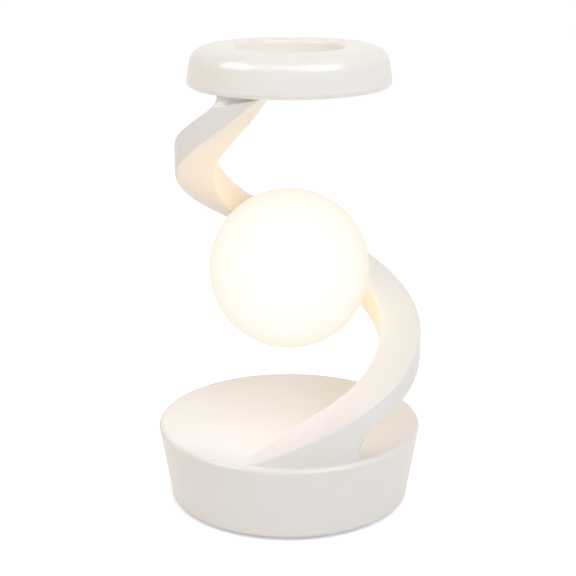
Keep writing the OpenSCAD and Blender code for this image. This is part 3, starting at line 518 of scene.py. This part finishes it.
def ribbon_arm():
    """Ribbon arm: a rounded strip carried up a helix. Every station has a point on the top edge and a point
    on the lower edge; the lower edge runs in the dish, up the heel, round a quarter circle and along the
    underside. The sides are straight between the two edges on the inner and the outer face."""
    heel_end = ARM_FOOT_DIR + HEEL_R / (arm_mid(ARM_FOOT_DIR) * DEG)
    head_rise = (RING_Z - ARM_LOW + 4 * ARM_SAG) / ARM_TOP_DIR
    neck_slope = math.atan(head_rise / (arm_mid(ARM_TOP_DIR) * DEG))
    neck_dir = ARM_TOP_DIR - NECK_R * math.cos(neck_slope) / head_rise
    neck_run = arm_mid(neck_dir) * DEG

    foot = np.linspace(FOOT_TIP_DIR, ARM_FOOT_DIR, 150)
    climb = np.linspace(0, 1, 18)[1:]
    turn = np.linspace(0, 90, 20)[1:] * DEG
    lean = np.linspace(neck_slope, math.pi / 2, 30)[1:]
    neck = neck_dir + NECK_R * (np.sin(lean) - math.sin(neck_slope)) / neck_run
    rest = np.concatenate([np.linspace(heel_end, neck_dir, 340)[1:], neck,
                           np.linspace(neck[-1], ARM_END_DIR, 80)[1:]])
    heel_top = ARM_FOOT_DIR + (heel_end - ARM_FOOT_DIR) * np.linspace(0, 1, len(climb) + len(turn) + 1)[1:]
    heel_low = np.concatenate([np.full(len(climb), float(ARM_FOOT_DIR)),
                               ARM_FOOT_DIR + (heel_end - ARM_FOOT_DIR) * (1 - np.cos(turn))])
    top_a = np.concatenate([foot, heel_top, rest])
    low_a = np.concatenate([foot, heel_low, rest])
    in_dish = np.concatenate([np.ones(len(foot)), 1 - climb, np.zeros(len(turn) + len(rest))])
    drop = np.concatenate([np.full(len(foot) + len(climb), HEEL_R), HEEL_R * (1 - np.sin(turn)),
                           np.zeros(len(rest))])
    soft = ARM_EDGE * np.concatenate([np.full(len(foot), 0.02), ease(climb * 3),
                                      np.ones(len(turn) + len(rest))])

    def top_height(a, r):
        """Top face: the helix, then an arc that meets the ring upright, blended softly into the dish."""
        x = NECK_R * math.sin(neck_slope) + np.maximum(a - neck_dir, 0) * neck_run
        arc = RING_Z - np.sqrt(np.maximum(NECK_R ** 2 - x ** 2, 0)) + np.clip(x - NECK_R, 0, HEAD_RISE)
        height = np.where(a > neck_dir, arc, arm_top(a))
        return soft_max(height, dish_height(r) - FOOT_SINK, FOOT_BLEND)

    def low_height(r):
        """Lower edge of every station at radius r."""
        return mix(np.minimum(arm_under(low_a) - drop, RING_Z + HEAD_LOW), dish_height(r) - ARM_SINK, in_dish)

    def rounded_edge(a, z, size, radius, side, sign):
        """Edge at directions a and heights z, rounded by a quarter circle that leaves it at right angles
        into its side: directions, radii and heights."""
        face_r = radius(top_a)
        run, rise = np.gradient(a) * DEG * face_r, np.gradient(z)
        long = np.hypot(run, rise) + 1e-9
        t = np.linspace(0, 90, 7)[None, :] * DEG
        turned_a = a[:, None] + (-sign * size * rise / long / face_r / DEG)[:, None] * (1 - np.cos(t))
        raised_z = z[:, None] + (sign * size * run / long)[:, None] * (1 - np.cos(t))
        return turned_a, radius(turned_a) + side * size[:, None] * (1 - np.sin(t)), raised_z

    def waisted(r, a, z):
        """Outer face at radius r drawn in just under the ring, along a quarter sine that fades forwards."""
        share = ease((a - WAIST_FROM_DIR) / WAIST_RUN) * (1 - ease((a - WAIST_TO_DIR) / WAIST_FADE))
        band = WAIST_BAND * np.clip(1 - (a - BAND_FROM_DIR) / BAND_RUN, 0, 1) + BAND_LEAST
        rise = np.clip(1.5 * (z - RING_Z) / band + 1.5, 0, 1)
        return r - WAIST_DEPTH * share * np.sin(rise * math.pi / 2)

    steps = 36
    parts = []
    for radius, side, bluntness in ((arm_face, -1, 0), (arm_in, 1, FOOT_BLUNT)):
        high, low = top_height(top_a, radius(top_a)), low_height(radius(low_a))
        room = np.maximum(high - low, 0.05)
        blunt = bluntness * (1 - ease((top_a - BLUNT_FROM_DIR) / BLUNT_RUN))
        crown = np.minimum(ARM_EDGE * (1 + blunt), (0.3 + 0.06 * blunt) * room)
        heel = np.minimum(soft, 0.3 * room)
        top_turn, top_r, top_rise = rounded_edge(top_a, high, crown, radius, side, -1)
        low_turn, low_r, low_rise = rounded_edge(low_a, low, heel, radius, side, 1)
        q = np.linspace(0, 1, steps)[None, 1:-1]
        side_turn = mix(top_turn[:, -1:], low_turn[:, -1:], q)
        side_rise = mix(top_rise[:, -1:], low_rise[:, -1:], q)
        parts.append((np.concatenate([top_turn, side_turn, low_turn[:, ::-1]], 1),
                      np.concatenate([top_r, radius(side_turn), low_r[:, ::-1]], 1),
                      np.concatenate([top_rise, side_rise, low_rise[:, ::-1]], 1)))
    (out_a, out_r, out_z), (in_a, in_r, in_z) = parts
    out_r = waisted(out_r, out_a, out_z)
    q = np.linspace(0, 1, 14)[None, 1:-1]
    across_r = mix(in_r[:, :1], out_r[:, :1], q)
    across_a = mix(in_a[:, :1], out_a[:, :1], q)
    top = stand(across_r, across_a, top_height(across_a, across_r))
    below_r = mix(out_r[:, -1:], in_r[:, -1:], q)
    below_a = mix(out_a[:, -1:], in_a[:, -1:], q)
    level = mix(out_z[:, -1:], in_z[:, -1:], q)
    bottom = stand(below_r, below_a, mix(level, dish_height(below_r) - ARM_SINK, in_dish[:, None]))
    loop = np.concatenate([top, stand(out_r, out_a, out_z), bottom, stand(in_r, in_a, in_z)[:, ::-1]], 1)
    return make_piece("ribbon_arm", [(loop, False, True, None)], "lamp", ["spiral_arm", "arm_cover"],
                      satin_arm)


def top_ring():
    """Top ring: a closed profile of shoulder, cone, lower lip, hollow and hole, turned round the axis."""
    bend = RING_R - RING_TAPER - RING_SHOULDER
    lip_out, lip_in = RING_R - RING_EDGE - RING_LIP, RING_HOLE_R + RING_WALL
    ledge = RING_Z + RING_PLATE + PLATE_GAP
    outside = np.concatenate([
        np.array([[RING_HOLE_R, RING_Z + HOLE_LIP]]),
        np.linspace([RING_HOLE_R, RING_Z + 2], [RING_HOLE_R, LAMP_H - HOLE_EDGE - 1], 8),
        bow((RING_HOLE_R + HOLE_EDGE, LAMP_H - HOLE_EDGE), HOLE_EDGE, 180, 90, 10),
        np.linspace([RING_HOLE_R + HOLE_EDGE + 1, LAMP_H], [bend - 1, LAMP_H], 6),
        bow((bend, LAMP_H - RING_SHOULDER), RING_SHOULDER, 90, RING_DRAFT, 26),
        bow((RING_R - RING_EDGE, RING_Z + RING_EDGE), RING_EDGE, RING_DRAFT, -90, 12)])
    hollow = np.concatenate([
        np.array([[lip_out + LIP_EDGE, RING_Z], [lip_out, RING_Z + LIP_EDGE], [lip_out, ledge],
                  [RING_R - RING_WALL, ledge], [RING_R - RING_WALL, RING_Z + RING_EDGE]]),
        bow((bend, LAMP_H - RING_SHOULDER), RING_SHOULDER - RING_WALL, 0, 90, 8),
        np.array([[lip_in, LAMP_H - RING_WALL], [lip_in, RING_Z + LIP_EDGE], [lip_in - LIP_EDGE, RING_Z],
                  [RING_HOLE_R + HOLE_LIP, RING_Z]])])
    profile = np.concatenate([outside, hollow])
    return make_piece("top_ring", [(turned(profile, 256), True, True, None)], "lamp", ["ring_shell"],
                      gloss_ring)


def globe():
    """Globe: an outer and an inner ball about the stem's axis, joined round the mouth at the back."""
    inside_r, steps_out, steps_in = GLOBE_R - GLOBE_WALL, 110, 60
    mouth_out, mouth_in = math.asin(MOUTH_R / GLOBE_R) / DEG, math.asin(MOUTH_R / inside_r) / DEG
    t = np.concatenate([np.linspace(180, mouth_out, steps_out), np.linspace(mouth_in, 180, steps_in)])
    r = np.concatenate([np.full(steps_out, GLOBE_R), np.full(steps_in, inside_r)])
    a = np.linspace(0, 360, 192, endpoint=False)[:, None] * DEG
    along, off = r * np.cos(t * DEG), r * np.sin(t * DEG)
    axis = np.array([math.sin(STEM_DIR * DEG), -math.cos(STEM_DIR * DEG), 0.0])
    side = np.array([math.cos(STEM_DIR * DEG), math.sin(STEM_DIR * DEG), 0.0])
    grid = (along[None, :, None] * axis + (off[None, :] * np.cos(a))[..., None] * side
            + (off[None, :] * np.sin(a))[..., None] * np.array([0, 0, 1.0]) + np.array([0, 0, GLOBE_Z]))
    return make_piece("globe", [(grid, True, False, None)], "lamp", ["globe_diffuser"],
                      milk_globe)


def back_button():
    """Button: a profile of push rod, flange, barrel, round edge and face hollowed by a parabola, turned
    round an axis that runs to the back."""
    face = math.sqrt(wall_radius(BUTTON_Z) ** 2 - PORT_X ** 2) + BUTTON_PROUD
    guide = BUTTON_R + GUIDE_WALL
    seat = math.sqrt((wall_radius(BUTTON_Z) - BASE_WALL) ** 2 - (PORT_X + guide) ** 2) - 2 * SLIDE_GAP
    flange_r, flange_y = BUTTON_R + FLANGE_W, seat - FLANGE_T
    rod_y = flange_y - ROD_L
    shank = np.array([[0, rod_y], [ROD_R, rod_y], [ROD_R, flange_y], [flange_r, flange_y], [flange_r, seat],
                      [BUTTON_R, seat]])
    edge = bow((BUTTON_R - BUTTON_EDGE, face - BUTTON_EDGE), BUTTON_EDGE, 0, 90, 8)
    dip = np.linspace(BUTTON_R - DIP_INSET, 0, 10)
    hollow = np.stack([dip, face - BUTTON_DIP * (1 - (dip / dip[0]) ** 2)], 1)
    profile = np.concatenate([shank, edge, hollow])
    a = np.linspace(0, 360, 72, endpoint=False)[:, None] * DEG
    grid = np.stack([PORT_X + profile[:, 0] * np.cos(a), profile[:, 1] + 0 * a,
                     BUTTON_Z + profile[:, 0] * np.sin(a)], -1)
    return make_piece("back_button", [(grid, True, False, None)], "button", ["power_button"],
                      button_white)


base_shell()
ribbon_arm()
top_ring()
globe()
back_button()

FINISHES = {
    pad_rubber: ["foot_pad", "battery_pad"],
    foot_grey: ["foot_plate"],
    ballast_iron: ["ballast_disc"],
    zinc_steel: ["ballast_screws", "spindle", "spindle_base_screw", "spindle_washer", "spindle_top_screw",
                 "bearing_retainer", "retainer_screws", "cover_screws", "board_screws", "usb_socket",
                 "arm_screws", "head_screws", "ring_screws", "globe_stem", "stem_nut", "led_screws"],
    race_steel: ["bearing_inner_ring", "bearing_outer_ring", "bearing_balls"],
    cage_tan: ["bearing_cage"],
    matt_cover: ["base_cover"],
    cell_foil: ["battery"],
    wire_red: ["battery_leads"],
    wire_white: ["led_wires"],
    board_green: ["control_board"],
    switch_black: ["tact_switch"],
    button_white: ["switch_plunger", "power_button"],
    anchor_tan: ["arm_anchor", "head_anchor"],
    satin_base: ["bowl_housing"],
    satin_arm: ["spiral_arm", "arm_cover"],
    gloss_ring: ["ring_shell", "ring_under_cover"],
    milk_globe: ["globe_diffuser"],
    globe_cap_white: ["globe_cap"],
    board_white: ["led_board"],
    chip_yellow: ["led_chips"],
}
for material, names in FINISHES.items():
    for name in names:
        nodes[name].data.materials.clear()
        nodes[name].data.materials.append(material)


# Stage, light and camera: the floor, lamps and cards are in millimetres and watts, and the camera's focal
# length is in pixels of the photograph's frame.
FLOOR_HALF, FLOOR_SEEN, FLOOR_TINT = 6000, 0.36, (1, 0.99, 0.98, 1)
ROOM_CAST, ROOM_SEEN = (0.725, 0.71, 0.702, 1), (1, 1, 1, 1)
LAMPS_AIM, CARD_TINT = (0, 0, 130), (0.84, 0.93, 1.0)
FRAME_PX, FOCAL_PX, SENSOR_W = 576, 1346.9, 36
EYE_PLACE, EYE_TILT = (-0.62, -606.5, 283.3), 16.62


def seen_directly(tree):
    """One where the camera, a gloss or glass looks, else nought."""
    path = put(tree, "ShaderNodeLightPath")
    mirrored = sums(tree, "MAXIMUM", path.outputs["Is Glossy Ray"], path.outputs["Is Transmission Ray"])
    return sums(tree, "MAXIMUM", path.outputs["Is Camera Ray"], mirrored)


def white_floor():
    """Pale floor that shows white where it is lit and keeps the lamp's shadow: one square."""
    mesh = bpy.data.meshes.new("floor")
    corners = np.array([(-1, -1, 0), (1, -1, 0), (1, 1, 0), (-1, 1, 0)]) * FLOOR_HALF * MM
    mesh.from_pydata(corners, [], [(0, 1, 2, 3)])
    floor = bpy.data.objects.new("floor", mesh)
    bpy.context.scene.collection.objects.link(floor)
    material, tree, shader, place = blank_material("White paper floor")
    paper = blend_colours(tree, noise(tree, place, 3, 2), tone(246, 246, 246), tone(244, 244, 244))
    tree.links.new(paper, shader.inputs["Base Color"])
    shader.inputs["Roughness"].default_value = 0.9
    shader.inputs["Specular IOR Level"].default_value = 0.0
    shader.inputs["Emission Color"].default_value = FLOOR_TINT
    added = sums(tree, "MULTIPLY", seen_directly(tree), FLOOR_SEEN)
    tree.links.new(added, shader.inputs["Emission Strength"])
    mesh.materials.append(material)


def white_room():
    """Even light all round, white where it is looked at."""
    world = bpy.data.worlds.new("White room")
    world.use_nodes = True
    tree = world.node_tree
    cast = blend_colours(tree, seen_directly(tree), ROOM_CAST, ROOM_SEEN)
    tree.links.new(cast, tree.nodes["Background"].inputs["Color"])
    bpy.context.scene.world = world


def soft_box(name, place, size, power, colour, lights=True, shines=True):
    """Rectangular studio lamp, or a card that only shows in reflections, turned to the lamp's middle."""
    lamp = bpy.data.lights.new(name, "AREA")
    lamp.shape, lamp.size, lamp.size_y = "RECTANGLE", size[0] * MM, size[1] * MM
    lamp.energy, lamp.color = power, colour
    holder = bpy.data.objects.new(name, lamp)
    bpy.context.scene.collection.objects.link(holder)
    holder.location = np.array(place) * MM
    gaze = Vector(LAMPS_AIM) - Vector(place)
    holder.rotation_euler = gaze.to_track_quat("-Z", "Y").to_euler()
    holder.visible_camera = False
    holder.visible_diffuse, holder.visible_glossy = lights, shines


def set_camera():
    """Camera at the photograph's place, level from side to side and tilted down."""
    eye = bpy.data.cameras.new("eye")
    eye.sensor_fit, eye.sensor_width, eye.lens = "HORIZONTAL", SENSOR_W, SENSOR_W * FOCAL_PX / FRAME_PX
    eye.clip_start, eye.clip_end = 0.01, 50
    holder = bpy.data.objects.new("eye", eye)
    bpy.context.scene.collection.objects.link(holder)
    holder.location = np.array(EYE_PLACE) * MM
    holder.rotation_euler = (math.radians(90 - EYE_TILT), 0, 0)
    bpy.context.scene.camera = holder


white_floor()
white_room()
soft_box("left_box", (-700, -245, 880), (600, 400), 1.1, (1.0, 0.88, 0.62))
soft_box("right_box", (480, -464, 950), (600, 400), 1.42, (0.9, 1.0, 0.8))
soft_box("right_fill", (500, -900, 700), (300, 300), 1.85, (0.42, 0.56, 1.0), shines=False)
soft_box("right_back_box", (650, 350, 850), (300, 300), 0.25, (1.0, 0.85, 0.4), shines=False)
soft_box("front_box", (0, -600, 900), (600, 400), 0.66, (0.97, 1.0, 1.0))
soft_box("front_card", (0, -600, 900), (640, 460), 10.0, CARD_TINT, lights=False)
soft_box("left_card", (-720, -270, 820), (640, 520), 16.0, CARD_TINT, lights=False)
soft_box("right_card", (500, -520, 840), (640, 540), 14.0, CARD_TINT, lights=False)
set_camera()
bpy.context.scene.view_settings.view_transform = "Standard"
